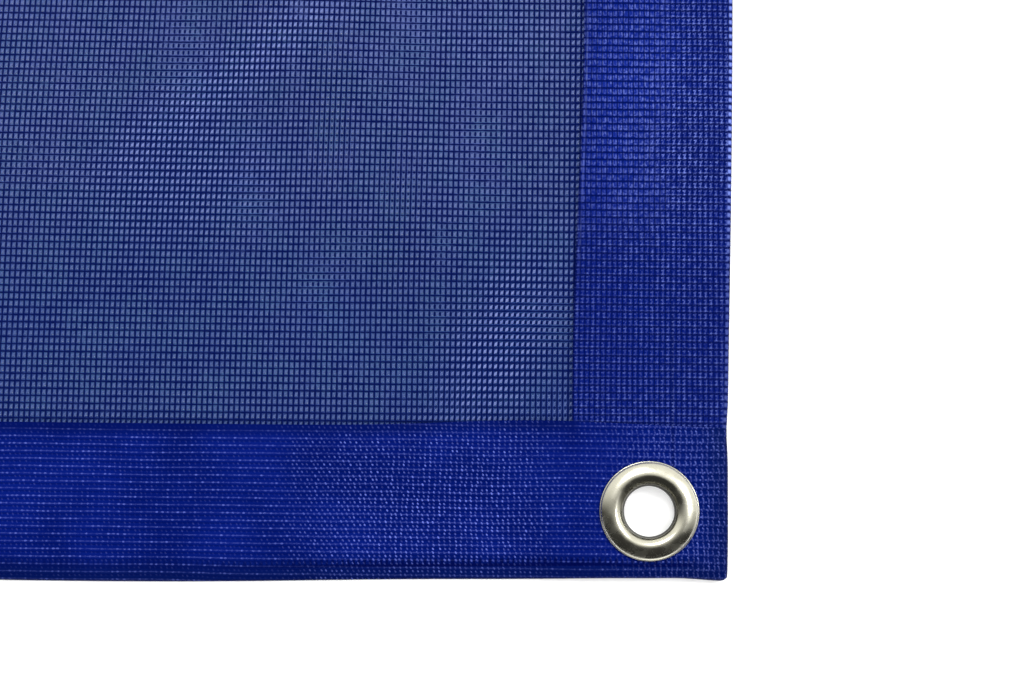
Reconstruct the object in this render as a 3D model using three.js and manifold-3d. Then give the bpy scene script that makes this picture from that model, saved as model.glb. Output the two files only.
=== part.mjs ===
// A pond net: one panel of coated open weave with welded hems and six two-piece metal eyelets.
// It lies on a surface at z = 0, with the origin under its middle. Millimetres, +X along the
// long side, +Y along the short side, +Z up. The weave's own gaps are about a millimetre wide,
// so the panel is an uncut sheet in the gentle waves in which the cloth lies.

import * as THREE from 'three';
import { mergeVertices } from 'three/addons/utils/BufferGeometryUtils.js';
import Module from 'manifold-3d';

const wasm = await Module();
wasm.setup();

// Cloth
const NET_LENGTH = 800;
const NET_WIDTH = 600;
const HEM_WIDTH = 39;
const PANEL_THICKNESS = 1.2;
const HEM_THICKNESS = 1.8;
const CORNER_THICKNESS = 2.4;
const STEP_WIDTH = 1;
const GAP = 0.3;
const CORNER_CHAMFER = 1.2;
const EDGE_WAVER = 0.5;
const WAVER_LENGTH = 210;

// Mesh steps of the solids
const PANEL_STEP = 24;
const STRIP_STEP = 30;
const TURN_STEPS = 24;

// Broad waves: the middle of each ridge, the direction that it runs in, its half length and
// half width, and its height.
const RIDGES = [
  { x: 292, y: -166, heading: 118, halfLength: 130, halfWidth: 34, height: 1.5 },
  { x: 352, y: -238, heading: 152, halfLength: 90, halfWidth: 30, height: 1.1 },
  { x: 150, y: -210, heading: 20, halfLength: 170, halfWidth: 55, height: 2.0 },
  { x: 30, y: 60, heading: 35, halfLength: 260, halfWidth: 60, height: 2.4 },
  { x: -210, y: 130, heading: 100, halfLength: 170, halfWidth: 55, height: 2.2 },
  { x: -230, y: -120, heading: 150, halfLength: 190, halfWidth: 60, height: 2.0 },
  { x: 250, y: 150, heading: 165, halfLength: 200, halfWidth: 60, height: 2.1 },
];

// Eyelets, with heights from the surface that the net lies on
const CORNER_EYELET_FROM_SIDE = 20.5;
const EYELET_FROM_EDGE = 17.3;
const BORE_RADIUS = 6.25;
const BARREL_RADIUS = 7.05;
const FUNNEL_RADIUS = 8.4;
const CREST_RADIUS = 9.9;
const FLANGE_RADIUS = 12.6;
const FLANGE_HEIGHT = 2.1;
const LIP_HEIGHT = 0.5;
const FLANGE_ROUND = 1.2;
const FUNNEL_DEPTH = 2.5;
const ROLL_RADIUS = 8.7;
const ROLL_HEIGHT = 0.7;
const WASHER_RADIUS = 12.2;
const WASHER_THICKNESS = 0.5;
const SEAT_HEIGHT = ROLL_HEIGHT + GAP + WASHER_THICKNESS + GAP;
const SEAT_HALF = 13.5;
const SEAT_RADIUS = SEAT_HALF * Math.SQRT2;
const LIFT_RADIUS = 42;
const PUNCH_LENGTH = 20;

// Where the eyelets sit: column is -1 left, 0 middle or 1 right, and row is -1 bottom or 1 top.
const EYELETS = [
  { name: 'bottom_left', column: -1, row: -1 },
  { name: 'bottom_middle', column: 0, row: -1 },
  { name: 'bottom_right', column: 1, row: -1 },
  { name: 'top_left', column: -1, row: 1 },
  { name: 'top_middle', column: 0, row: 1 },
  { name: 'top_right', column: 1, row: 1 },
].map(({ name, column, row }) => ({
  name,
  row,
  x: column * (NET_LENGTH / 2 - CORNER_EYELET_FROM_SIDE),
  y: row * (NET_WIDTH / 2 - EYELET_FROM_EDGE),
  thickness: column === 0 ? HEM_THICKNESS : CORNER_THICKNESS,
}));

const materials = {
  mesh: new THREE.MeshStandardMaterial({ color: 0x303f76, roughness: 0.45, metalness: 0 }),
  hem: new THREE.MeshStandardMaterial({ color: 0x1a2a7a, roughness: 0.4, metalness: 0 }),
  nickel: new THREE.MeshStandardMaterial({ color: 0xcbc8b8, roughness: 0.2, metalness: 1 }),
};

// The height of a smooth ridge at a place on the net, from 0 outside it to its full height.
function ridgeHeight(ridge, x, y) {
  const turn = THREE.MathUtils.degToRad(ridge.heading);
  const dx = x - ridge.x;
  const dy = y - ridge.y;
  const along = (dx * Math.cos(turn) + dy * Math.sin(turn)) / ridge.halfLength;
  const across = (dy * Math.cos(turn) - dx * Math.sin(turn)) / ridge.halfWidth;
  const reach = Math.hypot(along, across);
  return reach < 1 ? ridge.height * (1 + Math.cos(Math.PI * reach)) / 2 : 0;
}

// How high the underside of the cloth lies: on its waves, and flat on the washer at an eyelet.
function clothLift(x, y) {
  const nearest = Math.min(...EYELETS.map((e) => Math.hypot(x - e.x, y - e.y)));
  const seated = 1 - THREE.MathUtils.smoothstep(nearest, SEAT_RADIUS, LIFT_RADIUS);
  const waves = RIDGES.reduce((sum, ridge) => sum + ridgeHeight(ridge, x, y), 0);
  return SEAT_HEIGHT * seated + waves * (1 - seated);
}

// How far an outer edge strays from its straight line at a place along it.
function edgeStray(along) {
  return EDGE_WAVER * Math.sin((2 * Math.PI * along) / WAVER_LENGTH);
}

// Places from one end to the other, about a step apart.
function places(from, to, step) {
  const count = Math.max(1, Math.round((to - from) / step));
  return Array.from({ length: count + 1 }, (_, i) => from + ((to - from) * i) / count);
}

// A closed sheet over a grid of places, on the cloth's lift, as thick as thickness(x, y) says.
function clothSheet(xs, ys, thickness) {
  const sheet = new THREE.BoxGeometry(1, 1, 1, xs.length - 1, ys.length - 1, 1);
  const position = sheet.getAttribute('position');
  for (let i = 0; i < position.count; i++) {
    const x = xs[Math.round((position.getX(i) + 0.5) * (xs.length - 1))];
    const y = ys[Math.round((position.getY(i) + 0.5) * (ys.length - 1))];
    const top = position.getZ(i) > 0;
    const z = clothLift(x, y) + (top ? thickness(x, y) : 0);
    const onSide = Math.abs(x) === NET_LENGTH / 2;
    const onEnd = Math.abs(y) === NET_WIDTH / 2;
    const trim = onSide && onEnd ? CORNER_CHAMFER : 0;
    const strayX = onSide ? Math.sign(x) * (edgeStray(y) - trim) : 0;
    const strayY = onEnd ? Math.sign(y) * (edgeStray(x) - trim) : 0;
    position.setXYZ(i, x + strayX, y + strayY, z);
  }
  return sheet;
}

// A ring turned about +Z from a closed profile of [radius, height] points, low to high outside.
function turnedRing(profile) {
  const closed = [...profile, profile[0]].map(([r, z]) => new THREE.Vector2(r, z));
  const ring = new THREE.LatheGeometry(closed, TURN_STEPS);
  return ring.rotateX(Math.PI / 2);
}

// A closed geometry as a solid, with its shared vertices merged.
function solidOf(geometry) {
  const bare = geometry.clone();
  bare.deleteAttribute('normal');
  bare.deleteAttribute('uv');
  const merged = mergeVertices(bare, 1e-4);
  return new wasm.Manifold(new wasm.Mesh({
    numProp: 3,
    vertProperties: merged.getAttribute('position').array,
    triVerts: new Uint32Array(merged.index.array),
  }));
}

// A solid as a geometry that a mesh can show.
function geometryOf(solid) {
  const { vertProperties, triVerts } = solid.getMesh();
  const geometry = new THREE.BufferGeometry();
  geometry.setAttribute('position', new THREE.BufferAttribute(vertProperties, 3));
  geometry.setIndex(new THREE.BufferAttribute(triVerts, 1));
  geometry.computeVertexNormals();
  return geometry;
}

// The panel with its side hems, one step thicker at each side.
function makePanel() {
  const inner = NET_LENGTH / 2 - HEM_WIDTH;
  const end = NET_WIDTH / 2 - HEM_WIDTH - GAP;
  const side = [inner, inner + STEP_WIDTH, ...places(inner + HEM_WIDTH / 2, NET_LENGTH / 2, PANEL_STEP)];
  const xs = [
    ...side.map((x) => -x).reverse(),
    ...places(-inner, inner, PANEL_STEP).slice(1, -1),
    ...side,
  ];
  const ys = places(-end, end, PANEL_STEP);
  return clothSheet(xs, ys, (x) => (Math.abs(x) > inner ? HEM_THICKNESS : PANEL_THICKNESS));
}

// The hem of one long side, thicker where it is folded over the side hems, with its holes.
// Its mesh has lines at the edges of each eyelet's flat seat, and few elsewhere.
function makeHemStrip(row) {
  const fold = NET_LENGTH / 2 - HEM_WIDTH;
  const corner = NET_LENGTH / 2 - CORNER_EYELET_FROM_SIDE;
  const centre = NET_WIDTH / 2 - EYELET_FROM_EDGE;
  const halfway = (SEAT_HALF + LIFT_RADIUS) / 2;
  const right = [
    SEAT_HALF,
    halfway,
    ...places(LIFT_RADIUS, corner - LIFT_RADIUS, STRIP_STEP),
    corner - halfway,
    fold,
    fold + STEP_WIDTH,
    corner - SEAT_HALF,
    corner + SEAT_HALF,
    NET_LENGTH / 2,
  ];
  const xs = [...right.map((x) => -x).reverse(), ...right];
  const outward = [
    NET_WIDTH / 2 - HEM_WIDTH,
    centre - SEAT_HALF,
    centre,
    centre + SEAT_HALF,
    NET_WIDTH / 2,
  ];
  const ys = row < 0 ? outward.map((y) => -y).reverse() : outward;
  const strip = clothSheet(xs, ys, (x) => (Math.abs(x) > fold ? CORNER_THICKNESS : HEM_THICKNESS));
  const holeRadius = BARREL_RADIUS + GAP;
  const holes = EYELETS.filter((eyelet) => eyelet.row === row).map(({ x, y }) => {
    const punch = new THREE.CylinderGeometry(holeRadius, holeRadius, PUNCH_LENGTH, TURN_STEPS);
    return solidOf(punch.rotateX(Math.PI / 2).translate(x, y, 0));
  });
  return geometryOf(holes.reduce((cloth, hole) => cloth.subtract(hole), solidOf(strip)));
}

// The upper piece of an eyelet: a domed flange, a funnel into the bore, and a barrel that goes
// through the cloth and is rolled outwards at the back.
function makeGrommet(clothThickness) {
  const seat = SEAT_HEIGHT + clothThickness + GAP;
  const crest = seat + FLANGE_HEIGHT;
  return turnedRing([
    [BORE_RADIUS, ROLL_HEIGHT / 2],
    [BARREL_RADIUS, 0],
    [ROLL_RADIUS, 0],
    [ROLL_RADIUS, ROLL_HEIGHT],
    [BARREL_RADIUS, ROLL_HEIGHT],
    [BARREL_RADIUS, seat],
    [FLANGE_RADIUS, seat],
    [FLANGE_RADIUS, seat + LIP_HEIGHT],
    [FLANGE_RADIUS - FLANGE_ROUND, (seat + LIP_HEIGHT + 3 * crest) / 4],
    [CREST_RADIUS, crest],
    [FUNNEL_RADIUS, crest - LIP_HEIGHT / 2],
    [(BORE_RADIUS + FUNNEL_RADIUS) / 2, crest - FUNNEL_DEPTH / 2],
    [BORE_RADIUS, crest - FUNNEL_DEPTH],
  ]);
}

// The lower piece of an eyelet: a flat ring between the cloth and the rolled barrel.
function makeWasher() {
  const under = ROLL_HEIGHT + GAP;
  return turnedRing([
    [BARREL_RADIUS + GAP, under],
    [WASHER_RADIUS, under],
    [WASHER_RADIUS, under + WASHER_THICKNESS],
    [BARREL_RADIUS + GAP, under + WASHER_THICKNESS],
  ]);
}

function addPiece(group, name, geometry, material) {
  const mesh = new THREE.Mesh(geometry, material);
  mesh.name = name;
  group.add(mesh);
}

const net = new THREE.Group();
addPiece(net, 'net_panel', makePanel(), materials.mesh);
addPiece(net, 'hem_bottom', makeHemStrip(-1), materials.hem);
addPiece(net, 'hem_top', makeHemStrip(1), materials.hem);
for (const { name, x, y, thickness } of EYELETS) {
  const eyelet = new THREE.Group();
  eyelet.position.set(x, y, 0);
  addPiece(eyelet, `grommet_${name}`, makeGrommet(thickness), materials.nickel);
  addPiece(eyelet, `washer_${name}`, makeWasher(), materials.nickel);
  net.add(eyelet);
}

export default net;
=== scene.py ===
"""A pond net of coated blue open weave with welded hems and six nickel eyelets, lying flat.

Metres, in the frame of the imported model: the net lies on z = 0 with the origin under its middle.
"""

import math

import bmesh
import bpy
import numpy as np
from mathutils import Matrix, Vector


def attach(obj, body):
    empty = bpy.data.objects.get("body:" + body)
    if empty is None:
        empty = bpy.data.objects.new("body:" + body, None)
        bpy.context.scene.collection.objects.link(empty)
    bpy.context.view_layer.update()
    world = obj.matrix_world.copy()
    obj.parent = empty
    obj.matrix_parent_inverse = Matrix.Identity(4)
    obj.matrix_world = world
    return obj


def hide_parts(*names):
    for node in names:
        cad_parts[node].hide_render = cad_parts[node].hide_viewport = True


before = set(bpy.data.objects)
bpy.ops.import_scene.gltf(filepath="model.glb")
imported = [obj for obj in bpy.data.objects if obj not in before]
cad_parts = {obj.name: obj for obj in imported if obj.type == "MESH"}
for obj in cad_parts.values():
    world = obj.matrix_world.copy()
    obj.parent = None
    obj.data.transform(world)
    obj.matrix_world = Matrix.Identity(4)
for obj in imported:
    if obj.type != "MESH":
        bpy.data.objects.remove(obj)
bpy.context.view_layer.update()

# The net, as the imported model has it: the long hems run along X and the side hems along Y
NET_LENGTH = 0.8
NET_WIDTH = 0.6
HEM_WIDTH = 0.039
PANEL_END_X = NET_LENGTH / 2 - HEM_WIDTH
PANEL_END_Y = NET_WIDTH / 2 - HEM_WIDTH
SIDE_HEM_THICKNESS = 0.0018
CORNER_THICKNESS = 0.0024
STEP_WIDTH = 0.001
CORNER_CUT = (0.0012, 0.0009)

# The waves that the cloth lies in
RIDGES = [
    {"x": 0.292, "y": -0.166, "heading": 118, "half_length": 0.130, "half_width": 0.034, "height": 0.0015},
    {"x": 0.352, "y": -0.238, "heading": 152, "half_length": 0.090, "half_width": 0.030, "height": 0.0011},
    {"x": 0.150, "y": -0.210, "heading": 20, "half_length": 0.170, "half_width": 0.055, "height": 0.0020},
    {"x": 0.030, "y": 0.060, "heading": 35, "half_length": 0.260, "half_width": 0.060, "height": 0.0024},
    {"x": -0.210, "y": 0.130, "heading": 100, "half_length": 0.170, "half_width": 0.055, "height": 0.0022},
    {"x": -0.230, "y": -0.120, "heading": 150, "half_length": 0.190, "half_width": 0.060, "height": 0.0020},
    {"x": 0.250, "y": 0.150, "heading": 165, "half_length": 0.200, "half_width": 0.060, "height": 0.0021},
]

# Patches of painted highlight, where the knots and the hems' marks are painted brighter and the yarns' flanks
# darker, with the same words as the waves: height is how much
PAINTED_HIGHLIGHTS = [
    {"x": 0.276, "y": -0.166, "heading": 37, "half_length": 0.060, "half_width": 0.013, "height": 1.0},
    {"x": 0.258, "y": -0.196, "heading": 10, "half_length": 0.040, "half_width": 0.028, "height": 0.7},
    {"x": 0.340, "y": -0.158, "heading": 170, "half_length": 0.045, "half_width": 0.022, "height": 0.35},
    {"x": 0.341, "y": -0.241, "heading": 67, "half_length": 0.042, "half_width": 0.020, "height": 1.0},
    {"x": 0.330, "y": -0.284, "heading": 5, "half_length": 0.050, "half_width": 0.024, "height": 0.9},
    {"x": 0.384, "y": -0.185, "heading": 92, "half_length": 0.075, "half_width": 0.030, "height": 0.9},
    {"x": 0.373, "y": -0.257, "heading": 2, "half_length": 0.028, "half_width": 0.010, "height": 0.5},
    {"x": 0.120, "y": -0.180, "heading": 25, "half_length": 0.120, "half_width": 0.026, "height": 0.9},
    {"x": 0.060, "y": 0.090, "heading": 38, "half_length": 0.180, "half_width": 0.028, "height": 0.9},
    {"x": -0.190, "y": 0.140, "heading": 104, "half_length": 0.120, "half_width": 0.024, "height": 1.0},
    {"x": -0.220, "y": -0.100, "heading": 148, "half_length": 0.140, "half_width": 0.030, "height": 0.9},
    {"x": 0.240, "y": 0.170, "heading": 162, "half_length": 0.130, "half_width": 0.026, "height": 0.9},
    {"x": -0.150, "y": -0.280, "heading": 2, "half_length": 0.140, "half_width": 0.030, "height": 0.7},
    {"x": 0.180, "y": 0.282, "heading": 178, "half_length": 0.150, "half_width": 0.030, "height": 0.7},
    {"x": -0.382, "y": 0.080, "heading": 89, "half_length": 0.130, "half_width": 0.030, "height": 0.8},
    {"x": 0.383, "y": 0.120, "heading": 91, "half_length": 0.120, "half_width": 0.030, "height": 0.8},
]

# How the hems' edges stray outwards: waves of (height, length, crest), bumps of (height, middle, half width)
SIDE_OUTER_WAVE = (0.00125, 0.404, -0.14)
SIDE_OUTER_BUMPS = [(0.00032, 0.292, 0.016), (-0.0004, 0.262, 0.005)]
SIDE_INNER_MEAN = 0.0001
SIDE_INNER_WAVE = (0.0012, 0.2, -0.152)
LONG_OUTER_WAVE = (0.0016, 0.46, 0.235)
LONG_OUTER_BUMPS = [(0.0009, 0.4, 0.009), (-0.00038, 0.313, 0.035)]
LONG_INNER_MEAN = 0.0005
LONG_INNER_BUMPS = [(-0.0017, 0.35, 0.03)]
STRAY_FROM_EYELET = (0.009, 0.02)

# A hem's upper face falls to its rolled outer edge: distance from the edge, and share of the thickness
HEM_PROFILE = [(0.0, 0.42), (0.0003, 0.62), (0.0008, 0.74), (0.0018, 0.82), (0.0032, 0.92), (0.005, 1.0)]
HEM_STEP = 0.003
SIDE_HEM_STEP = 0.006

# The weave: warp yarns run along Y and weft yarns along X
WARP_PITCH = 0.001375
WEFT_PITCH = 0.0019
WARP_WIDTH = 0.00098
WEFT_WIDTH = 0.00118
YARN_HEIGHT = 0.0007
YARN_MIDDLE = 0.0006
YARN_SEGMENT = 0.02
TUCK_IN = 0.004
BOW = 0.0035
BOW_FADE = 0.12
WARP_GAPS = int(2 * PANEL_END_X / WARP_PITCH) + 3
WEFT_GAPS = int(2 * PANEL_END_Y / WEFT_PITCH) + 2
KNOT_LENGTH = 0.0015
KNOT_WIDTH = 0.00074
KNOT_HEIGHT = 0.0004
KNOT_LEAN = 56
KNOT_RISE = 0.00093
KNOT_PIECES = 4

# Angles in degrees from which an edge between two faces is left sharp
YARN_SHARP = 30
HEM_SHARP = 50

# Eyelets, with heights from the floor
CORNER_EYELET_FROM_SIDE = 0.0205
EYELET_FROM_EDGE = 0.0173
SEAT_HEIGHT = 0.0018
SEAT_GAP = 0.0003
SEAT_RADIUS = 0.0135 * math.sqrt(2)
LIFT_RADIUS = 0.042
HOLE_RADIUS = 0.0078
DOME_HEIGHT = 0.0021
TURN_STEPS = 48
BORE_SHADE_RADIUS = 0.0070
TINY = 1e-6

EYELETS = [
    {
        "name": f"{row_name}_{column_name}",
        "x": column * (NET_LENGTH / 2 - CORNER_EYELET_FROM_SIDE),
        "y": row * (NET_WIDTH / 2 - EYELET_FROM_EDGE),
        "cloth": CORNER_THICKNESS if column else SIDE_HEM_THICKNESS,
    }
    for row_name, row in (("bottom", -1), ("top", 1))
    for column_name, column in (("left", -1), ("middle", 0), ("right", 1))
]

# Zones of the panel, by distance from the middle of its width: (where a change starts, where it ends); in the
# first, painted light makes the flanks paler towards the middle
PAINTED_LIGHT_ZONE = (0.125, 0.225)
END_ZONE = (0.19, 0.24)

# The dark strip of yarns beside a hem, by distance past the hem's inner edge
BESIDE_HEM = (-0.0045, -0.0005)

# Zones of a long hem, by distance from the middle of its length
FOLD_ROW_RISE = (0.26, 0.31)
DOTS_START = (0.278, 0.305)
DOTS_END = (0.346, 0.362)
CORNER_START = (0.350, 0.364)
LIP_END = (0.356, 0.372)
FOLDED_START = (0.360, 0.388)
CORNER_SHADE = (0.374, 0.394)
FOLD_ROW_END = (0.389, 0.393)

# Places across a hem, by distance from its outer edge, and a side hem's zone near a corner
ROLL_ZONE = (0.001, 0.0075)
LIP_ZONE = (0.0350, 0.0380)
FOLD_LINE = 0.0034
FOLD_TICKS = 0.0040
RIM_LINE = 0.0006
HOOKS_END = (0.0120, 0.0250)
PAINTED_SHEEN_MIDDLE = 0.0275
SEAM_LINE = 0.0380
INNER_EDGE = (0.0384, 0.0387)
LOW_ZONE = (0.185, 0.225)
PLY_INSET = 0.0146
PLY_START = (0.225, 0.236)
PLY_END = (0.278, 0.286)

# Layers of random values, so that one mark's chances don't follow another's
PLAIN_CHANCE = 0.0
DASH_SHIFT = 1.0
BELOW_SHIFT = 2.0
STREAK_CHANCE = 3.0
STREAK_SHIFT = 4.0
HOOK_CHANCE = 5.0
YARN_TONE = 7.0
SEAM_CHANCE = 8.0
FOOT_SHIFT = 9.0

# Scales of soft random patterns, in patches a metre: the higher, the finer
PANEL_PATCHES = 18.0
ROW_SWAY = 30.0
HEM_PATCHES = 45.0
HOOKS_DRIFT = 90.0
GREEN_PATCHES = 95.0
DULL_PATCHES = 260.0
STREAK_RIPPLE = 420.0
CREST_WOBBLE = 650.0
THREAD_GRAIN = 1400.0

# Finishes: roughness, the gloss of the coating, and how far the hems' marks stand up
YARN_ROUGHNESS = 0.45
YARN_GLOSS = 0.16
KNOT_ROUGHNESS = 0.35
KNOT_GLOSS = 0.3
HEM_ROUGHNESS = 0.4
HEM_GLOSS = 0.07
MARK_HEIGHT = 0.0002
MARK_STRENGTH = 0.4
METAL_ROUGHNESS = (0.2, 0.32)
FLOOR_ROUGHNESS = 0.7

# Colours: red, green and blue as shares of light
COAT_TINT = (0.08, 0.22, 1.0)
YARN_PAINTED_CREST_SHADE = (0.0005, 0.0032, 0.053)
YARN_FLANKS = ((0.027, 0.047, 0.160), (0.080, 0.112, 0.310))
YARN_DULL = (0.026, 0.036, 0.160)
YARN_NEAR_END = (0.020, 0.048, 0.170)
YARN_GREEN = (0.042, 0.092, 0.200)
YARN_IN_PAINTED_HIGHLIGHT = (0.009, 0.027, 0.130)
YARN_BESIDE_HEM = (0.006, 0.016, 0.105)
KNOT_PLAIN = ((0.062, 0.088, 0.220), (0.088, 0.117, 0.272))
KNOT_NEAR_END = (0.032, 0.062, 0.190)
KNOT_PAINTED_GLINT = ((0.100, 0.132, 0.350), (0.168, 0.205, 0.460))
HEM_DARK = (0.0001, 0.0015, 0.042)
LONG_HEM_BLUES = ((0.0003, 0.0036, 0.080), (0.0010, 0.0060, 0.113))
LONG_HEM_CORNER = (0.0003, 0.0040, 0.060)
LONG_HEM_ROLL = (0.0007, 0.0040, 0.046)
LONG_HEM_MARKS = (0.12, 0.16, 0.55)
SIDE_HEM_BLUES = ((0.0002, 0.0036, 0.083), (0.0010, 0.0088, 0.152))
SIDE_HEM_MARKS = (0.155, 0.21, 0.61)
NICKEL = (0.60, 0.585, 0.50)
NICKEL_BORE_SHADE = (0.020, 0.019, 0.016)
FLOOR_WHITE = (0.95, 0.95, 0.95)
ROOM_DARK = (0.04, 0.04, 0.038)
ROOM_BRIGHT = (1.24, 1.23, 1.15)

# The camera, straight above the corner that the photograph shows, and leaning a little to +Y
CAMERA_PLACE = (0.3495, -0.3073, 0.5089)
CAMERA_YAW = 0.41
CAMERA_PITCH = 7.36
CAMERA_ROLL = 0.62
FOCAL_PIXELS = 2000
PICTURE_WIDTH = 1035
SENSOR_WIDTH = 36

# Where the room is bright, and the soft lights: azimuth 0 is +X and 90 is +Y, and all angles are in degrees
WINDOW_AZIMUTH = 80
WINDOW_EDGE = (-0.22, 0.42)
LIGHTS = [
    {"name": "light_right", "azimuth": 25, "elevation": 48, "width": 22, "strength": 1.6, "mirrored": True},
    {"name": "light_back", "azimuth": 104, "elevation": 50, "width": 25, "strength": 1.25, "mirrored": True},
    {"name": "light_front", "azimuth": 255, "elevation": 46, "width": 40, "strength": 1.9, "mirrored": False},
    {"name": "light_top", "azimuth": 73, "elevation": 84, "width": 50, "strength": 0.7, "mirrored": False},
]
FLOOR_SIZE = 15
FLOOR_GLOW = 0.2


# Shape of the cloth

def smooth_step(value, low, high):
    """0 below low, 1 above high, and a smooth rise between them."""
    share = np.clip((value - low) / (high - low), 0, 1)
    return share * share * (3 - 2 * share)


def ridge_height(ridge, x, y):
    """The height of one broad wave at places on the net."""
    turn = math.radians(ridge["heading"])
    dx = x - ridge["x"]
    dy = y - ridge["y"]
    along = (dx * math.cos(turn) + dy * math.sin(turn)) / ridge["half_length"]
    across = (dy * math.cos(turn) - dx * math.sin(turn)) / ridge["half_width"]
    reach = np.minimum(np.hypot(along, across), 1)
    return ridge["height"] * (1 + np.cos(np.pi * reach)) / 2


def eyelet_distance(x, y):
    """How far places on the net are from the middle of the nearest eyelet."""
    return np.min([np.hypot(x - eyelet["x"], y - eyelet["y"]) for eyelet in EYELETS], axis=0)


def cloth_lift(x, y):
    """How high the cloth's underside lies: on its waves, and flat on the washer at an eyelet."""
    seated = 1 - smooth_step(eyelet_distance(x, y), SEAT_RADIUS, LIFT_RADIUS)
    waves = sum(ridge_height(ridge, x, y) for ridge in RIDGES)
    return SEAT_HEIGHT * seated + waves * (1 - seated)


def wave(along, height, length, crest):
    """A plain wave along an edge, highest at its crest."""
    return height * np.cos(2 * np.pi * (along - crest) / length)


def bumps(along, shapes):
    """Soft bumps and dips along an edge, alike on both sides of its middle."""
    total = 0
    for height, middle, half_width in shapes:
        total = total + height * np.exp(-(((np.abs(along) - middle) / half_width) ** 2))
    return total


def hem_stray(x, y):
    """How far the hems' cut and folded edges stray outwards from straight lines."""
    far_x = np.abs(x)
    far_y = np.abs(y)
    across = np.clip((far_x - PANEL_END_X) / HEM_WIDTH, 0, 1)
    up = np.clip((far_y - PANEL_END_Y) / HEM_WIDTH, 0, 1)
    side_outer = wave(y, *SIDE_OUTER_WAVE) + bumps(y, SIDE_OUTER_BUMPS)
    side_inner = SIDE_INNER_MEAN + wave(y, *SIDE_INNER_WAVE)
    long_outer = wave(far_x, *LONG_OUTER_WAVE) + bumps(x, LONG_OUTER_BUMPS)
    long_inner = LONG_INNER_MEAN + bumps(x, LONG_INNER_BUMPS)
    inset_x = (NET_LENGTH / 2 - far_x) / CORNER_CUT[0]
    inset_y = (NET_WIDTH / 2 - far_y) / CORNER_CUT[1]
    cut = np.clip(1 - inset_x - inset_y, 0, 1) / 2
    free = smooth_step(eyelet_distance(x, y), *STRAY_FROM_EYELET)
    on_side = (far_x >= PANEL_END_X - TINY) * free
    on_long = (far_y >= PANEL_END_Y - TINY) * free
    stray_x = on_side * (across * side_outer + (1 - across) * side_inner) - cut * CORNER_CUT[0]
    stray_y = on_long * (up * long_outer + (1 - up) * long_inner) - cut * CORNER_CUT[1]
    return np.sign(x) * stray_x, np.sign(y) * stray_y


def weave_drift(x, y):
    """How far the yarns bow to +X between the long hems, less and less towards the side hems."""
    held = smooth_step(PANEL_END_X - np.abs(x), 0, BOW_FADE)
    return BOW * (1 + np.cos(np.pi * np.clip(y / PANEL_END_Y, -1, 1))) * held


# Making meshes

def keep_mesh(bm, name):
    """A mesh from a bmesh, which is then freed."""
    mesh = bpy.data.meshes.new(name)
    bm.to_mesh(mesh)
    bm.free()
    return mesh


def add_piece(name, mesh, material, sharp_from=None):
    """Shows a mesh as a piece of the net."""
    piece = bpy.data.objects.new(name, mesh)
    bpy.context.scene.collection.objects.link(piece)
    mesh.materials.clear()
    mesh.materials.append(material)
    mesh.shade_smooth()
    if sharp_from:
        mesh.set_sharp_from_angle(angle=math.radians(sharp_from))
    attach(piece, "root")
    return piece


def repeated(mesh, name, steps):
    """A mesh repeated by one array after another; steps holds (count, offset) of each."""
    piece = bpy.data.objects.new(name, mesh)
    bpy.context.scene.collection.objects.link(piece)
    for count, offset in steps:
        array = piece.modifiers.new("repeat", "ARRAY")
        array.use_relative_offset = False
        array.use_constant_offset = True
        array.constant_offset_displace = offset
        array.count = count
    shown = piece.evaluated_get(bpy.context.evaluated_depsgraph_get())
    made = bpy.data.meshes.new_from_object(shown)
    bpy.data.objects.remove(piece)
    return made


def places_of(mesh):
    """The places of a mesh's vertices, one row each."""
    flat = np.empty(len(mesh.vertices) * 3)
    mesh.vertices.foreach_get("co", flat)
    return flat.reshape(-1, 3)


def carry(mesh, name, values):
    """Gives each vertex of a mesh a number of its own."""
    mesh.attributes.new(name, "FLOAT", "POINT").data.foreach_set("value", values)


def mark_painted_highlight(mesh):
    """Gives a mesh's vertices their share of the painted highlight."""
    place = places_of(mesh)
    painted_highlight = sum(ridge_height(patch, place[:, 0], place[:, 1]) for patch in PAINTED_HIGHLIGHTS)
    carry(mesh, "painted_highlight", np.clip(painted_highlight, 0, 1))


def move_vertices(mesh, place):
    """Moves a mesh's vertices to new places, where they take on the painted highlight."""
    mesh.vertices.foreach_set("co", place.ravel())
    mark_painted_highlight(mesh)
    mesh.update()


def lay_on_waves(mesh):
    """Moves a flat mesh of yarns onto the cloth's waves and along its bow."""
    place = places_of(mesh)
    place[:, 0] += weave_drift(place[:, 0], place[:, 1])
    place[:, 2] += cloth_lift(place[:, 0], place[:, 1])
    move_vertices(mesh, place)


def spread(count, pitch):
    """Where the first of a centred row of things lies."""
    return -(count - 1) * pitch / 2


# Yarns and knots

def make_yarn(name, length, width, along_x):
    """One straight yarn of four-sided section, centred on the origin, with its crest marked for painted
    shade.
    """
    bm = bmesh.new()
    crest = bm.verts.layers.float.new("crest")
    bmesh.ops.create_cone(bm, cap_ends=True, segments=4, radius1=0.5, radius2=0.5, depth=length)
    runs = [edge for edge in bm.edges if abs(edge.verts[0].co.z - edge.verts[1].co.z) > length / 2]
    bmesh.ops.subdivide_edges(bm, edges=runs, cuts=round(length / YARN_SEGMENT) - 1)
    turn = Matrix.Rotation(math.radians(90), 3, "Y" if along_x else "X")
    bmesh.ops.rotate(bm, verts=bm.verts, cent=(0, 0, 0), matrix=turn)
    section = (1, width, YARN_HEIGHT) if along_x else (width, 1, YARN_HEIGHT)
    bmesh.ops.scale(bm, vec=section, verts=bm.verts)
    for vert in bm.verts:
        vert[crest] = WARP_WIDTH / width if vert.co.z > YARN_HEIGHT / 4 else 0.0
    bmesh.ops.translate(bm, vec=(0, 0, YARN_MIDDLE), verts=bm.verts)
    return keep_mesh(bm, name)


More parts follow.
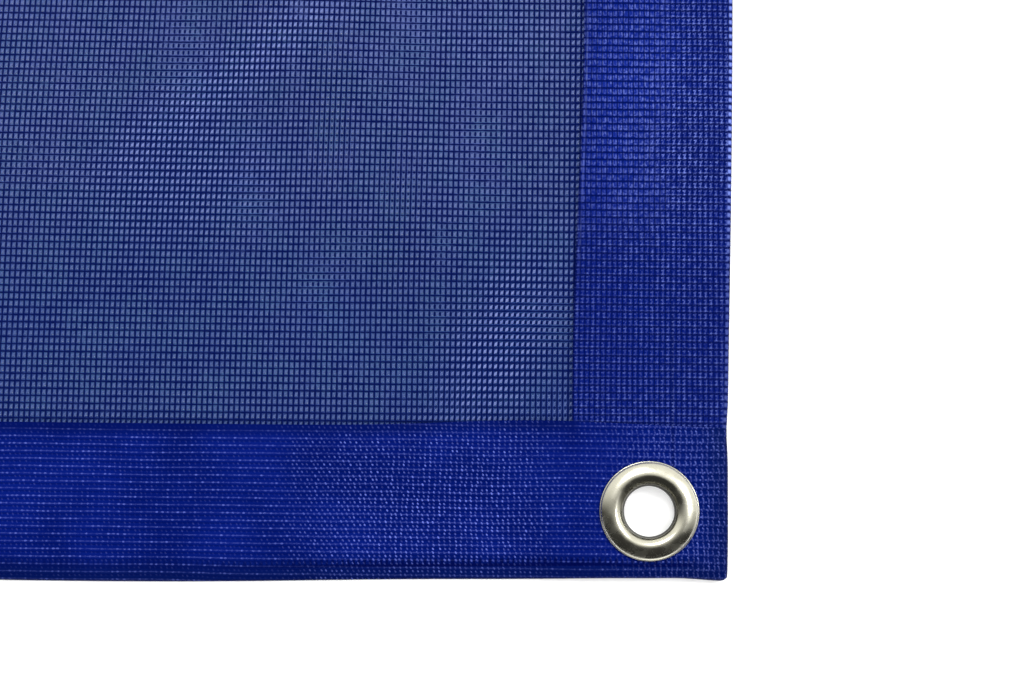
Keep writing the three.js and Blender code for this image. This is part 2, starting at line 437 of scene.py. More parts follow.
def make_yarns():
    """All warp and weft yarns of the panel, joined as one mesh."""
    warps = WARP_GAPS + 1
    wefts = WEFT_GAPS + 1
    warp = make_yarn("warp", 2 * PANEL_END_Y + 2 * TUCK_IN, WARP_WIDTH, along_x=False)
    weft = make_yarn("weft", 2 * PANEL_END_X + 2 * TUCK_IN, WEFT_WIDTH, along_x=True)
    warp.transform(Matrix.Translation((spread(warps, WARP_PITCH), 0, 0)))
    weft.transform(Matrix.Translation((0, spread(wefts, WEFT_PITCH), 0)))
    bm = bmesh.new()
    bm.from_mesh(repeated(warp, "warp", [(warps, (WARP_PITCH, 0, 0))]))
    bm.from_mesh(repeated(weft, "weft", [(wefts, (0, WEFT_PITCH, 0))]))
    mesh = keep_mesh(bm, "net_yarns")
    lay_on_waves(mesh)
    return mesh


def make_knot():
    """One seed-shaped knot of four faces, leaning to the right at its upper end."""
    bm = bmesh.new()
    for x, y, z in (
        (-KNOT_LENGTH / 2, 0, KNOT_HEIGHT),
        (KNOT_LENGTH / 2, 0, KNOT_HEIGHT),
        (0, -KNOT_WIDTH / 2, KNOT_HEIGHT / 3),
        (0, KNOT_WIDTH / 2, KNOT_HEIGHT / 3),
    ):
        bm.verts.new((x, y, z))
    bmesh.ops.convex_hull(bm, input=bm.verts)
    bmesh.ops.recalc_face_normals(bm, faces=bm.faces)
    lean = Matrix.Rotation(math.radians(KNOT_LEAN), 3, "Z")
    bmesh.ops.rotate(bm, verts=bm.verts, cent=(0, 0, 0), matrix=lean)
    return keep_mesh(bm, "knot")


def make_knots(part):
    """One of the equal bands of knots, each in the lower middle of its gap between the yarns."""
    rows = WEFT_GAPS // KNOT_PIECES
    knot = make_knot()
    x = spread(WARP_GAPS, WARP_PITCH)
    y = spread(WEFT_GAPS + 1, WEFT_PITCH) + KNOT_RISE + part * rows * WEFT_PITCH
    knot.transform(Matrix.Translation((x, y, YARN_MIDDLE)))
    mesh = repeated(knot, "knots", [(WARP_GAPS, (WARP_PITCH, 0, 0)), (rows, (0, WEFT_PITCH, 0))])
    lay_on_waves(mesh)
    return mesh


# Hems

def steps_between(low, high, step):
    """Places from one end to the other, about a step apart."""
    return np.linspace(low, high, max(1, round((high - low) / step)) + 1)


def hem_lines(low, high):
    """Grid places across a hem from its inner edge to its rolled outer edge."""
    edge = [high - depth for depth, share in reversed(HEM_PROFILE)]
    return [*steps_between(low, edge[0], HEM_STEP)[:-1], *edge]


def edge_distance(x, y):
    """How far places on the net are from its nearest outer edge."""
    return np.minimum(NET_LENGTH / 2 - np.abs(x), NET_WIDTH / 2 - np.abs(y))


def hem_top(x, y, thickness):
    """The height of a hem's upper face over its underside, lower at the rolled outer edge."""
    depths = [depth for depth, share in HEM_PROFILE]
    shares = [share for depth, share in HEM_PROFILE]
    return thickness * np.interp(edge_distance(x, y), depths, shares)


def punch_hole(bm, eyelet):
    """Cuts an eyelet's hole in a flat grid, and draws the cut edge onto its circle."""
    centre = Vector((eyelet["x"], eyelet["y"], 0))
    inside = [vert for vert in bm.verts if (vert.co - centre).length < HOLE_RADIUS]
    bmesh.ops.delete(bm, geom=inside, context="VERTS")
    for vert in bm.verts:
        away = vert.co - centre
        if vert.is_boundary and away.length < 2 * HOLE_RADIUS and abs(vert.co.y) < NET_WIDTH / 2:
            vert.co = centre + away.normalized() * HOLE_RADIUS


def hem_web(name, xs, ys, thickness):
    """A closed sheet over a grid of places on the cloth's waves, with holes at its eyelets."""
    bm = bmesh.new()
    columns, rows = len(xs) - 1, len(ys) - 1
    bmesh.ops.create_grid(bm, x_segments=columns, y_segments=rows, size=0.5)
    for vert in bm.verts:
        vert.co.x = xs[round((vert.co.x + 0.5) * columns)]
        vert.co.y = ys[round((vert.co.y + 0.5) * rows)]
    for eyelet in EYELETS:
        punch_hole(bm, eyelet)
    bmesh.ops.extrude_face_region(bm, geom=bm.faces[:])
    bm.verts.ensure_lookup_table()
    for vert in bm.verts[len(bm.verts) // 2:]:
        vert.co.z = 1
    bmesh.ops.recalc_face_normals(bm, faces=bm.faces)
    mesh = keep_mesh(bm, name)
    place = places_of(mesh)
    x, y, upper = place.T.copy()
    carry(mesh, "inset", edge_distance(x, y))
    stray_x, stray_y = hem_stray(x, y)
    place[:, 0] += stray_x
    place[:, 1] += stray_y
    place[:, 2] = cloth_lift(x, y) + upper * hem_top(x, y, thickness(x, y))
    move_vertices(mesh, place)
    return mesh


def long_hem_thickness(x, y):
    """A long hem is one layer thicker where it is folded over the side hems."""
    return np.where(np.abs(x) > PANEL_END_X + STEP_WIDTH / 2, CORNER_THICKNESS, SIDE_HEM_THICKNESS)


def side_hem_thickness(x, y):
    """A side hem is as thick all along."""
    return np.full(x.shape, SIDE_HEM_THICKNESS)


def make_long_hem(name, row):
    """The hem of a long side, with a step where it is folded over the side hems."""
    over_panel = steps_between(0, PANEL_END_X, HEM_STEP)[:-1]
    over_side_hem = hem_lines(PANEL_END_X + STEP_WIDTH, NET_LENGTH / 2)
    right = [*over_panel, PANEL_END_X, *over_side_hem]
    xs = [-x for x in reversed(right[1:])] + right
    ys = hem_lines(PANEL_END_Y, NET_WIDTH / 2)
    if row < 0:
        ys = [-y for y in reversed(ys)]
    return hem_web(name, xs, ys, long_hem_thickness)


def make_side_hem(name, column):
    """The hem of a short side, between the long hems."""
    xs = hem_lines(PANEL_END_X, NET_LENGTH / 2)
    if column < 0:
        xs = [-x for x in reversed(xs)]
    ys = steps_between(-PANEL_END_Y, PANEL_END_Y, SIDE_HEM_STEP)
    return hem_web(name, xs, ys, side_hem_thickness)


# Eyelets

def turned(name, profile, x, y):
    """A closed section of (radius, height) points turned once about an eyelet's axis, its bore marked for
    painted shade.
    """
    bm = bmesh.new()
    points = [bm.verts.new((radius, 0, height)) for radius, height in profile]
    edges = [bm.edges.new((a, b)) for a, b in zip(points, points[1:] + points[:1])]
    bmesh.ops.spin(
        bm, geom=points + edges, cent=(0, 0, 0), axis=(0, 0, 1), angle=math.tau,
        steps=TURN_STEPS, use_merge=True,
    )
    bmesh.ops.remove_doubles(bm, verts=bm.verts, dist=TINY)
    bmesh.ops.recalc_face_normals(bm, faces=bm.faces)
    painted_bore_shade = bm.verts.layers.float.new("painted_bore_shade")
    for vert in bm.verts:
        vert[painted_bore_shade] = 1.0 if math.hypot(vert.co.x, vert.co.y) < BORE_SHADE_RADIUS else 0.0
    bmesh.ops.translate(bm, vec=(x, y, 0), verts=bm.verts)
    return keep_mesh(bm, name)


def make_grommet(name, eyelet):
    """The upper piece: a lipped dome, a funnel into the bore, and a barrel rolled over below."""
    seat = eyelet["cloth"] + SEAT_HEIGHT + SEAT_GAP
    crest = seat + DOME_HEIGHT
    funnel = [
        (0.0066, 0.0005), (0.0066, seat - 0.0006), (0.00638, crest - 0.00262), (0.00634, crest - 0.00256),
        (0.00636, crest - 0.0024), (0.0067, crest - 0.0017), (0.0071, crest - 0.0011),
    ]
    dome = [
        (0.0077, crest - 0.0005), (0.0084, crest - 0.0001), (0.0090, crest), (0.0099, crest - 0.0001),
        (0.0109, crest - 0.0005), (0.0117, crest - 0.0010), (0.01222, seat + 0.0006),
    ]
    lip = [
        (0.01236, seat + 0.00034), (0.01243, seat + 0.00032), (0.0125, seat + 0.00035),
        (0.0126, seat + 0.00028), (0.01263, seat + 0.00014), (0.0125, seat), (0.0100, seat),
    ]
    barrel = [
        (0.0076, seat), (0.00715, seat - 0.0004), (0.00715, 0.0009), (0.0074, 0.0007),
        (0.0083, 0.0007), (0.0087, 0.0004), (0.0084, 0.0), (0.0070, 0.0), (0.0065, 0.0002),
    ]
    return turned(name, funnel + dome + lip + barrel, eyelet["x"], eyelet["y"])


def make_washer(name, eyelet):
    """The lower piece: a flat ring with rounded rims under the cloth."""
    profile = [
        (0.0075, 0.0010), (0.0098, 0.0010), (0.0118, 0.0010), (0.0122, 0.0012),
        (0.0122, 0.0013), (0.0118, 0.0015), (0.0098, 0.0015), (0.0075, 0.0015),
    ]
    return turned(name, profile, eyelet["x"], eyelet["y"])


# Building a material's tree

def add_node(tree, kind, *sources, **settings):
    """Adds a node, sets its own settings, and feeds its inputs in order from sockets or values."""
    node = tree.nodes.new(kind)
    for name, value in settings.items():
        setattr(node, name, value)
    for socket, source in zip(node.inputs, sources):
        if isinstance(source, bpy.types.NodeSocket):
            tree.links.new(source, socket)
        elif source is not None:
            socket.default_value = source
    return node.outputs[0]


def calc(tree, operation, *sources):
    """A number worked out from one, two or three others."""
    return add_node(tree, "ShaderNodeMath", *sources, operation=operation)


def product(tree, *values):
    """Several numbers multiplied together."""
    result = values[0]
    for value in values[1:]:
        result = calc(tree, "MULTIPLY", result, value)
    return result


def strongest(tree, *values):
    """The largest of several numbers."""
    largest = values[0]
    for value in values[1:]:
        largest = calc(tree, "MAXIMUM", largest, value)
    return largest


def less(tree, value, share):
    """What is left of 1 after a share of a number."""
    return calc(tree, "SUBTRACT", 1.0, calc(tree, "MULTIPLY", value, share))


def eased(tree, value, low, high, start=0.0, end=1.0):
    """A smooth change from start to end while a value goes from low to high."""
    return add_node(
        tree, "ShaderNodeMapRange", value, low, high, start, end, interpolation_type="SMOOTHSTEP"
    )


def between(tree, share, first, second):
    """A number that goes smoothly from first to second with a share from 0 to 1."""
    return eased(tree, share, 0.0, 1.0, first, second)


def mixed(tree, share, first, second):
    """A colour between two others."""
    node = tree.nodes.new("ShaderNodeMix")
    node.data_type = "RGBA"
    for socket, source in ((node.inputs[0], share), (node.inputs[6], first), (node.inputs[7], second)):
        if isinstance(source, bpy.types.NodeSocket):
            tree.links.new(source, socket)
        elif isinstance(source, float):
            socket.default_value = source
        else:
            socket.default_value = (*source, 1)
    return node.outputs[2]


def start_material(name, roughness, metallic=0.0):
    """A new material with its tree and its surface shader."""
    material = bpy.data.materials.new(name)
    material.use_nodes = True
    tree = material.node_tree
    shader = tree.nodes["Principled BSDF"]
    shader.inputs["Roughness"].default_value = roughness
    shader.inputs["Metallic"].default_value = metallic
    return material, tree, shader


def coated(shader, gloss):
    """Gives a shader the coating's gloss, which takes on the blue under it."""
    shader.inputs["Specular IOR Level"].default_value = gloss
    shader.inputs["Specular Tint"].default_value = (*COAT_TINT, 1)


def object_place(tree):
    """Where a point is on the net."""
    return tree.nodes.new("ShaderNodeTexCoord").outputs["Object"]


def flat_place(tree, place):
    """The x and y of a point on the net."""
    split = tree.nodes.new("ShaderNodeSeparateXYZ")
    tree.links.new(place, split.inputs[0])
    return split.outputs[0], split.outputs[1]


def attribute(tree, name):
    """A number that each vertex of the mesh carries."""
    node = tree.nodes.new("ShaderNodeAttribute")
    node.attribute_name = name
    return node.outputs["Fac"]


def noise(tree, place, scale, detail=2.0):
    """Soft random values round a half."""
    node = tree.nodes.new("ShaderNodeTexNoise")
    node.inputs["Scale"].default_value = scale
    node.inputs["Detail"].default_value = detail
    tree.links.new(place, node.inputs["Vector"])
    return node.outputs[0]


def swing(tree, place, scale, amount, detail=2.0):
    """Soft random values round zero."""
    return calc(tree, "MULTIPLY", calc(tree, "SUBTRACT", noise(tree, place, scale, detail), 0.5), amount)


def cell_chance(tree, across, along, layer):
    """A random value for each cell of a pattern, from its two counts."""
    node = tree.nodes.new("ShaderNodeTexWhiteNoise")
    joined = add_node(
        tree, "ShaderNodeCombineXYZ", calc(tree, "FLOOR", across), calc(tree, "FLOOR", along), layer
    )
    tree.links.new(joined, node.inputs["Vector"])
    return node.outputs[0]


# Marks in the cells of a weave, whose sizes and places are shares of a cell

def cells(tree, place_along, pitch, shift, wander):
    """Where a point lies in its cell of a repeated pattern: the count so far, and from -0.5 to 0.5."""
    count = calc(tree, "ADD", calc(tree, "MULTIPLY_ADD", place_along, 1 / pitch, shift), wander)
    return count, calc(tree, "SUBTRACT", calc(tree, "FRACT", count), 0.5)


def jittered(tree, value, column, row, amount, layer):
    """A place in a cell, moved a little at random from cell to cell."""
    start = calc(tree, "SUBTRACT", value, amount / 2)
    return calc(tree, "MULTIPLY_ADD", cell_chance(tree, column, row, layer), amount, start)


def dash(tree, u, v, half_length, half_width):
    """A soft oval spot in a cell, 1 at its middle."""
    across = calc(tree, "DIVIDE", u, half_length)
    up = calc(tree, "DIVIDE", v, half_width)
    reach = calc(tree, "ADD", calc(tree, "MULTIPLY", across, across), calc(tree, "MULTIPLY", up, up))
    return eased(tree, reach, 0.15, 1.0, 1.0, 0.0)


def band(tree, value, middle, half_width):
    """A soft line, 1 along its middle."""
    away = calc(tree, "ABSOLUTE", calc(tree, "SUBTRACT", value, middle))
    return eased(tree, away, 0.3 * half_width, half_width, 1.0, 0.0)


def cell_sides(tree, value, half_width):
    """A soft line along both sides of a cell."""
    return strongest(tree, band(tree, value, -0.5, half_width), band(tree, value, 0.5, half_width))


# The panel's materials

def weave_chance(tree, x, y, layer):
    """A random value for each gap of the open weave."""
    return cell_chance(tree, calc(tree, "DIVIDE", x, WARP_PITCH), calc(tree, "DIVIDE", y, WEFT_PITCH), layer)


def near_hems(tree, x, y):
    """The dark strip of yarns along the hems."""
    past_x = calc(tree, "SUBTRACT", calc(tree, "ABSOLUTE", x), PANEL_END_X)
    past_y = calc(tree, "SUBTRACT", calc(tree, "ABSOLUTE", y), PANEL_END_Y)
    return eased(tree, strongest(tree, past_x, past_y), *BESIDE_HEM, 0.0, 0.55)


def yarn_material():
    """Coated yarn: painted shade darkens its crest to navy, and painted light keeps its flanks paler."""
    material, tree, shader = start_material("coated_yarn", YARN_ROUGHNESS)
    coated(shader, YARN_GLOSS)
    place = object_place(tree)
    x, y = flat_place(tree, place)
    far = calc(tree, "ABSOLUTE", y)
    # Painted light: the flanks are painted paler towards the middle of the net's width
    middle = eased(tree, far, *PAINTED_LIGHT_ZONE, 0.75, 0.0)
    patch = eased(tree, noise(tree, place, PANEL_PATCHES), 0.35, 0.65, 0.0, 0.3)
    flank = mixed(tree, calc(tree, "ADD", patch, middle), *YARN_FLANKS)
    dull = calc(tree, "MULTIPLY", weave_chance(tree, x, y, YARN_TONE), 0.35)
    flank = mixed(tree, dull, flank, YARN_DULL)
    flank = mixed(tree, eased(tree, far, *END_ZONE, 0.0, 0.35), flank, YARN_NEAR_END)
    green = eased(tree, noise(tree, place, GREEN_PATCHES), 0.42, 0.62, 0.0, 0.55)
    flank = mixed(tree, green, flank, YARN_GREEN)
    # Painted highlight: in its patches the flanks are painted darker, less so towards the middle of the net
    in_painted_highlight = product(tree, attribute(tree, "painted_highlight"), less(tree, middle, 1.3))
    flank = mixed(tree, in_painted_highlight, flank, YARN_IN_PAINTED_HIGHLIGHT)
    flank = mixed(tree, near_hems(tree, x, y), flank, YARN_BESIDE_HEM)
    wobble = swing(tree, place, CREST_WOBBLE, 0.45, 1.0)
    # Painted shade and light: the crest is painted dark navy and the flanks stay paler
    crest = eased(tree, calc(tree, "ADD", attribute(tree, "crest"), wobble), 0.34, 0.64)
    tree.links.new(mixed(tree, crest, flank, YARN_PAINTED_CREST_SHADE), shader.inputs["Base Color"])
    return material


def knot_material():
    """The glossy knots, with a painted glint in the patches of painted highlight, each a little unlike the
    next.
    """
    material, tree, shader = start_material("coated_knot", KNOT_ROUGHNESS)
    coated(shader, KNOT_GLOSS)
    x, y = flat_place(tree, object_place(tree))
    chance = weave_chance(tree, x, y, PLAIN_CHANCE)
    plain = mixed(tree, eased(tree, chance, 0.2, 1.0), *KNOT_PLAIN)
    near_end = eased(tree, calc(tree, "ABSOLUTE", y), *END_ZONE, 0.0, 0.45)
    plain = mixed(tree, near_end, plain, KNOT_NEAR_END)
    # Painted glint: in the patches of painted highlight the knots are painted a bright blue
    painted_glint = mixed(tree, chance, *KNOT_PAINTED_GLINT)
    tree.links.new(mixed(tree, attribute(tree, "painted_highlight"), plain, painted_glint), shader.inputs["Base Color"])
    return material


# The hems' materials

def thread_grain(tree, place, least):
    """The fine unevenness of the threads that the marks are made of."""
    return eased(tree, noise(tree, place, THREAD_GRAIN, 1.0), 0.35, 0.62, least, 1.0)


def ply_line(tree, x, y):
    """The faint edge of the layer folded inside each corner, seen through the cloth."""
    line = band(tree, calc(tree, "ABSOLUTE", x), NET_LENGTH / 2 - PLY_INSET, 0.0006)
    far = calc(tree, "ABSOLUTE", y)
    return product(tree, line, eased(tree, far, *PLY_START), eased(tree, far, *PLY_END, 1.0, 0.0), 0.6)


def finish_hem(tree, shader, light, dark, shade, bright):
    """Colours a hem from its dark yarns and its light marks, which are the weave's pattern and painted
    highlights on its yarns, and raises the marks a little.
    """
    ground = mixed(tree, dark, shade, HEM_DARK)
    tree.links.new(mixed(tree, light, ground, bright), shader.inputs["Base Color"])
    bump = tree.nodes.new("ShaderNodeBump")
    bump.inputs["Strength"].default_value = MARK_STRENGTH
    bump.inputs["Distance"].default_value = MARK_HEIGHT
    tree.links.new(calc(tree, "SUBTRACT", light, dark), bump.inputs["Height"])
    tree.links.new(bump.outputs[0], shader.inputs["Normal"])


def upper_dashes(tree, u, v, chance, corner, dotted):
    """Lying dashes in the cells of the upper layer, which become leaning dots in the dotted zone."""
    lying = dash(tree, u, v, between(tree, corner, 0.36, 0.27), 0.14)
    leaning = dash(tree, calc(tree, "MULTIPLY_ADD", v, 0.6, u), v, 0.24, 0.21)
    least = strongest(tree, between(tree, corner, 0.3, 0.45), calc(tree, "MULTIPLY", dotted, 0.5))
    return product(tree, between(tree, dotted, lying, leaning), between(tree, chance, least, 1.0))


def lower_dots(tree, u, v, chance):
    """Leaning dots in the cells of the layer below."""
    leaning = dash(tree, calc(tree, "MULTIPLY_ADD", v, 0.6, u), v, 0.22, 0.19)
    return product(tree, leaning, between(tree, chance, 0.35, 1.0))


def fold_row(tree, inset, far, u):
    """The dark line and ticks along a long hem's fold, fainter away from the corners."""
    line = band(tree, inset, FOLD_LINE, 0.0006)
    ticks = product(tree, band(tree, inset, FOLD_TICKS, 0.0016), cell_sides(tree, u, 0.3))
    stronger = eased(tree, far, *FOLD_ROW_RISE, 0.4, 1.0)
    return product(tree, strongest(tree, line, ticks), stronger, eased(tree, far, *FOLD_ROW_END, 1.0, 0.0))


def long_hem_material():
    """Two welded layers: rows of small light dashes, which turn to leaning dots on the way to a corner."""
    material, tree, shader = start_material("hem_cloth_long", HEM_ROUGHNESS)
    coated(shader, HEM_GLOSS)
    place = object_place(tree)
    x, y = flat_place(tree, place)
    painted_highlight = attribute(tree, "painted_highlight")
    inset = attribute(tree, "inset")
    far = calc(tree, "ABSOLUTE", x)
    grain = thread_grain(tree, place, 0.25)
    corner = eased(tree, far, *CORNER_START)
    folded = eased(tree, far, *FOLDED_START, 0.0, 0.62)
    dotted = product(tree, eased(tree, far, *DOTS_START), eased(tree, far, *DOTS_END, 1.0, 0.0))

    # The upper layer's marks, and the thread that joins a row of them
    sway = swing(tree, place, ROW_SWAY, 1.4)
    column, u = cells(tree, x, WARP_PITCH, 0.0, sway)
    row, v = cells(tree, y, WEFT_PITCH, 0.0, calc(tree, "MULTIPLY", sway, 0.35))
    u = jittered(tree, u, column, row, 0.3, DASH_SHIFT)
    chance = cell_chance(tree, column, row, PLAIN_CHANCE)
    upper = upper_dashes(tree, u, v, chance, corner, dotted)
    # Painted highlight: the upper layer's marks are painted brighter in its patches
    upper = product(tree, upper, grain, between(tree, painted_highlight, 0.5, 0.94))
    thread = product(tree, band(tree, v, 0.0, 0.1), grain, between(tree, corner, 0.16, 0.13))

    # The lower layer's dots and posts, which show through in places
    under_column, under_u = cells(tree, x, WARP_PITCH * 0.985, 0.3, sway)
    under_row, under_v = cells(tree, y, WEFT_PITCH, 0.5, calc(tree, "MULTIPLY", sway, 0.6))
    under_u = jittered(tree, under_u, under_column, under_row, 0.35, BELOW_SHIFT)
    under_chance = cell_chance(tree, under_column, under_row, PLAIN_CHANCE)
    # Painted highlight: the lower layer's dots are painted in more strongly in its patches
    shown = strongest(tree, product(tree, dotted, 0.75), folded, eased(tree, painted_highlight, 0.0, 0.9, 0.12, 0.6))
    lower = product(tree, lower_dots(tree, under_u, under_v, under_chance), grain, shown)
    posts = product(tree, band(tree, under_u, 0.1, 0.2), band(tree, v, 0.05, 0.42), folded, grain, 0.55)

    # The hem's lip along the panel, and its fold and roll along the outer edge
    lip = product(tree, eased(tree, inset, *LIP_ZONE), eased(tree, far, *LIP_END, 1.0, 0.0))
    roll = eased(tree, inset, *ROLL_ZONE, 1.0, 0.0)
    fold = fold_row(tree, inset, far, u)
    light = strongest(tree, upper, thread, lower, posts)
    light = product(tree, light, less(tree, lip, 0.6), less(tree, roll, 0.4), less(tree, fold, 0.7))
    row_gap = calc(tree, "MULTIPLY", band(tree, v, -0.5, 0.3), 0.45)
    dark = strongest(tree, row_gap, calc(tree, "MULTIPLY", lip, 0.55), fold, ply_line(tree, x, y))

    blue = mixed(tree, eased(tree, noise(tree, place, HEM_PATCHES), 0.3, 0.7), *LONG_HEM_BLUES)
    blue = mixed(tree, eased(tree, far, *CORNER_SHADE, 0.0, 0.6), blue, LONG_HEM_CORNER)
    shade = mixed(tree, calc(tree, "MULTIPLY", roll, 0.8), blue, LONG_HEM_ROLL)
    finish_hem(tree, shader, light, dark, shade, LONG_HEM_MARKS)
    return material


def hook_marks(tree, u, v, low, foot):
    """Hooks, each of a leaning stroke, a post, a top and a foot, on the line that the feet stand on."""
    stroke = band(tree, calc(tree, "MULTIPLY_ADD", v, -0.6, u), 0.0, 0.16)
    stroke = product(tree, stroke, between(tree, low, 0.7, 0.35))
    post = product(tree, band(tree, u, 0.08, 0.14), between(tree, low, 0.3, 0.62))
    top = dash(tree, calc(tree, "ADD", u, 0.12), calc(tree, "SUBTRACT", v, 0.24), 0.26, 0.12)
    base = product(tree, band(tree, v, -0.25, 0.1), 0.42)
    return strongest(tree, stroke, post, product(tree, top, 0.8), foot, base)


def streak_marks(tree, place, x, v, row, sway):
    """Upright streaks, two in each cell's width."""
    ripple = swing(tree, place, STREAK_RIPPLE, 0.7)
    half_column, s = cells(tree, x, WARP_PITCH / 2, 0.2, calc(tree, "ADD", sway, ripple))
    upright = dash(tree, s, jittered(tree, v, half_column, row, 0.25, STREAK_SHIFT), 0.46, 0.5)
    chance = cell_chance(tree, half_column, row, STREAK_CHANCE)
    return product(tree, upright, between(tree, chance, 0.22, 0.52))


def side_hem_material():
    """Welded layers between dark yarns: doubled light streaks on the inner side and hooks on the outer."""
    material, tree, shader = start_material("hem_cloth_side", HEM_ROUGHNESS)
    coated(shader, HEM_GLOSS)
    place = object_place(tree)
    x, y = flat_place(tree, place)
    painted_highlight = attribute(tree, "painted_highlight")
    inset = attribute(tree, "inset")
    low = eased(tree, calc(tree, "ABSOLUTE", y), *LOW_ZONE)
    grain = thread_grain(tree, place, 0.15)
    sway = swing(tree, place, ROW_SWAY, 0.8)
    column, u = cells(tree, x, WARP_PITCH, 0.0, sway)
    row, v = cells(tree, y, WEFT_PITCH, 0.0, calc(tree, "MULTIPLY", sway, 0.35))
    yarn = cell_sides(tree, v, 0.2)
    gap = cell_sides(tree, u, 0.17)

    # Streaks on the inner side, which become hooks near a corner, and hooks on the outer side
    foot_u = jittered(tree, u, column, row, 0.15, FOOT_SHIFT)
    foot = dash(tree, foot_u, calc(tree, "ADD", v, 0.24), 0.24, 0.15)
    hooks = hook_marks(tree, u, v, low, foot)
    chance = between(tree, cell_chance(tree, column, row, HOOK_CHANCE), 0.55, 1.0)
    hooks = product(tree, hooks, chance, grain, less(tree, gap, 0.5), less(tree, low, 0.16), 0.9)
    streaks = product(tree, streak_marks(tree, place, x, v, row, sway), grain, less(tree, gap, 0.6))
    streaks = strongest(tree, streaks, product(tree, foot, grain, 0.38))
    streaks = between(tree, low, streaks, product(tree, hooks, 0.9))
    drift = swing(tree, place, HOOKS_DRIFT, 0.016)
    outer = eased(tree, calc(tree, "ADD", inset, drift), *HOOKS_END, 1.0, 0.0)

    # The weld's dotted seam along the panel, and the light threads on the outer rim
    seam_chance = cell_chance(tree, 0.5, row, SEAM_CHANCE)
    seam = product(tree, band(tree, inset, SEAM_LINE, 0.00035), seam_chance, 0.6, less(tree, low, 0.8))
    rim = band(tree, inset, RIM_LINE, 0.0006)
    rim = product(tree, rim, band(tree, v, 0.05, 0.42), 1.4, less(tree, low, 0.7))
    light = strongest(tree, between(tree, outer, streaks, hooks), seam, rim)
    # Painted highlight: the marks are painted brighter in its patches and dimmer outside them
    light = product(tree, light, less(tree, yarn, 0.7), between(tree, painted_highlight, 0.55, 0.95))
    dark = strongest(
        tree,
        calc(tree, "MULTIPLY", yarn, 0.88),
        calc(tree, "MULTIPLY", gap, 0.85),
        eased(tree, inset, *INNER_EDGE),
        ply_line(tree, x, y),
    )

    # Painted sheen: a broad band along a side hem is painted a brighter blue
    painted_sheen = calc(tree, "MULTIPLY", band(tree, inset, PAINTED_SHEEN_MIDDLE, 0.018), 0.6)
    patch = calc(tree, "MULTIPLY_ADD", eased(tree, noise(tree, place, HEM_PATCHES), 0.3, 0.7), 0.5, painted_sheen)
    shade = mixed(tree, product(tree, patch, less(tree, low, 0.75)), *SIDE_HEM_BLUES)
    finish_hem(tree, shader, light, dark, shade, SIDE_HEM_MARKS)
    return material


# Metal and floor

def nickel_material():
    """Polished nickel plating, slightly warm, with painted shade inside the bore, and faint dullness in
    places.
    """
    material, tree, shader = start_material("nickel", METAL_ROUGHNESS[0], metallic=1.0)
    # Painted shade: the metal inside the bore is painted nearly black
    colour = mixed(tree, attribute(tree, "painted_bore_shade"), NICKEL, NICKEL_BORE_SHADE)
    tree.links.new(colour, shader.inputs["Base Color"])
    dull = eased(tree, noise(tree, object_place(tree), DULL_PATCHES), 0.35, 0.7, *METAL_ROUGHNESS)
    tree.links.new(dull, shader.inputs["Roughness"])
    return material


def floor_material():
    """A plain white surface."""
    material, tree, shader = start_material("white_floor", FLOOR_ROUGHNESS)
    shader.inputs["Base Color"].default_value = (*FLOOR_WHITE, 1)
    shader.inputs["Emission Color"].default_value = (1, 1, 1, 1)
    shader.inputs["Emission Strength"].default_value = FLOOR_GLOW
    return material


# Camera, floor and light

def set_camera():
    """Puts the camera where the photograph was taken from."""
    data = bpy.data.cameras.new("camera")
    data.sensor_width = SENSOR_WIDTH
    data.lens = SENSOR_WIDTH * FOCAL_PIXELS / PICTURE_WIDTH
    data.clip_start = 0.01
    camera = bpy.data.objects.new("camera", data)
    turn = (
        Matrix.Rotation(math.radians(CAMERA_YAW), 4, "Y")
        @ Matrix.Rotation(math.radians(CAMERA_PITCH), 4, "X")
        @ Matrix.Rotation(math.radians(CAMERA_ROLL), 4, "Z")
    )
    camera.matrix_world = Matrix.Translation(CAMERA_PLACE) @ turn
    bpy.context.scene.collection.objects.link(camera)
    bpy.context.scene.camera = camera


def add_floor():
    """A wide white floor."""
    bm = bmesh.new()
    bmesh.ops.create_grid(bm, x_segments=1, y_segments=1, size=FLOOR_SIZE)
    floor = bpy.data.objects.new("floor", keep_mesh(bm, "floor"))
    floor.data.materials.append(floor_material())
    bpy.context.scene.collection.objects.link(floor)


def add_sun(name, azimuth, elevation, width, strength, mirrored):
    """A soft wide light from a direction, which the metal mirrors or doesn't."""
    data = bpy.data.lights.new(name, "SUN")
    data.angle = math.radians(width)
    data.energy = strength
    sun = bpy.data.objects.new(name, data)
    a, e = math.radians(azimuth), math.radians(elevation)
    towards = Vector((math.cos(e) * math.cos(a), math.cos(e) * math.sin(a), math.sin(e)))
    sun.rotation_euler = towards.to_track_quat("Z", "Y").to_euler()
    sun.visible_glossy = mirrored
    bpy.context.scene.collection.objects.link(sun)


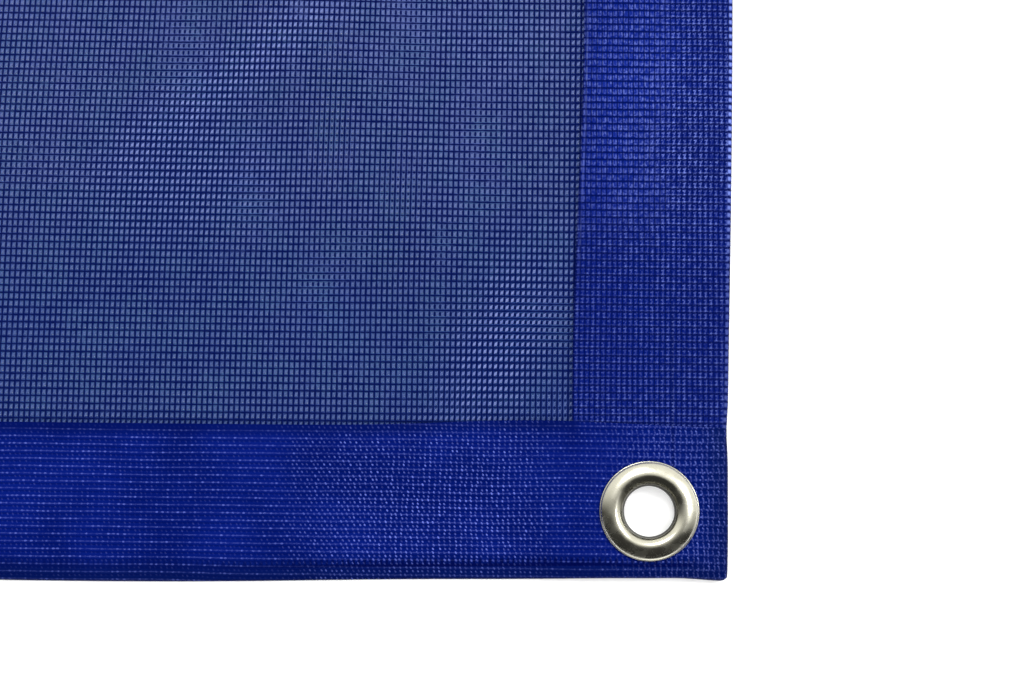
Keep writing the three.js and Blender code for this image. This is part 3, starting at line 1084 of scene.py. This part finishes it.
def set_light():
    """A room that is bright on the far side, and soft lights in it."""
    world = bpy.data.worlds.new("room")
    world.use_nodes = True
    tree = world.node_tree
    towards = tree.nodes.new("ShaderNodeVectorMath")
    towards.operation = "DOT_PRODUCT"
    tree.links.new(tree.nodes.new("ShaderNodeTexCoord").outputs["Generated"], towards.inputs[0])
    azimuth = math.radians(WINDOW_AZIMUTH)
    towards.inputs[1].default_value = (math.cos(azimuth), math.sin(azimuth), 0)
    glow = eased(tree, towards.outputs["Value"], *WINDOW_EDGE)
    tree.links.new(mixed(tree, glow, ROOM_DARK, ROOM_BRIGHT), tree.nodes["Background"].inputs["Color"])
    bpy.context.scene.world = world
    for light in LIGHTS:
        add_sun(**light)
    bpy.context.scene.view_settings.view_transform = "Standard"


# The net

def add_panel():
    """Adds the yarns, which stand for the panel's solid, and the knots."""
    yarns = add_piece("net_yarns", make_yarns(), yarn_material(), YARN_SHARP)
    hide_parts("net_panel")
    knot = knot_material()
    knots = [
        add_piece(f"net_knots_{part + 1}", make_knots(part), knot, YARN_SHARP)
        for part in range(KNOT_PIECES)
    ]
    return yarns, knots


def add_hems():
    """Adds the two long hems, which stand for their solids, and the two side hems."""
    webs = []
    long_cloth = long_hem_material()
    side_cloth = side_hem_material()
    for side, row in (("bottom", -1), ("top", 1)):
        name = f"hem_web_{side}"
        web = add_piece(name, make_long_hem(name, row), long_cloth, HEM_SHARP)
        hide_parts(f"hem_{side}")
        webs.append(web)
    for side, column in (("left", -1), ("right", 1)):
        name = f"hem_web_{side}"
        webs.append(add_piece(name, make_side_hem(name, column), side_cloth, HEM_SHARP))
    return webs


def add_eyelets():
    """Adds a grommet and a washer for each eyelet, which stand for their solids."""
    rings = []
    nickel = nickel_material()
    for eyelet in EYELETS:
        for part, make in (("grommet", make_grommet), ("washer", make_washer)):
            node = f"{part}_{eyelet['name']}"
            name = f"eyelet_{node}"
            ring = add_piece(name, make(name, eyelet), nickel)
            round_off = ring.modifiers.new("round", "SUBSURF")
            round_off.levels = round_off.render_levels = 1
            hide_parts(node)
            rings.append(ring)
    return rings


set_camera()
add_floor()
set_light()
yarns, knots = add_panel()
others = knots + add_hems() + add_eyelets()
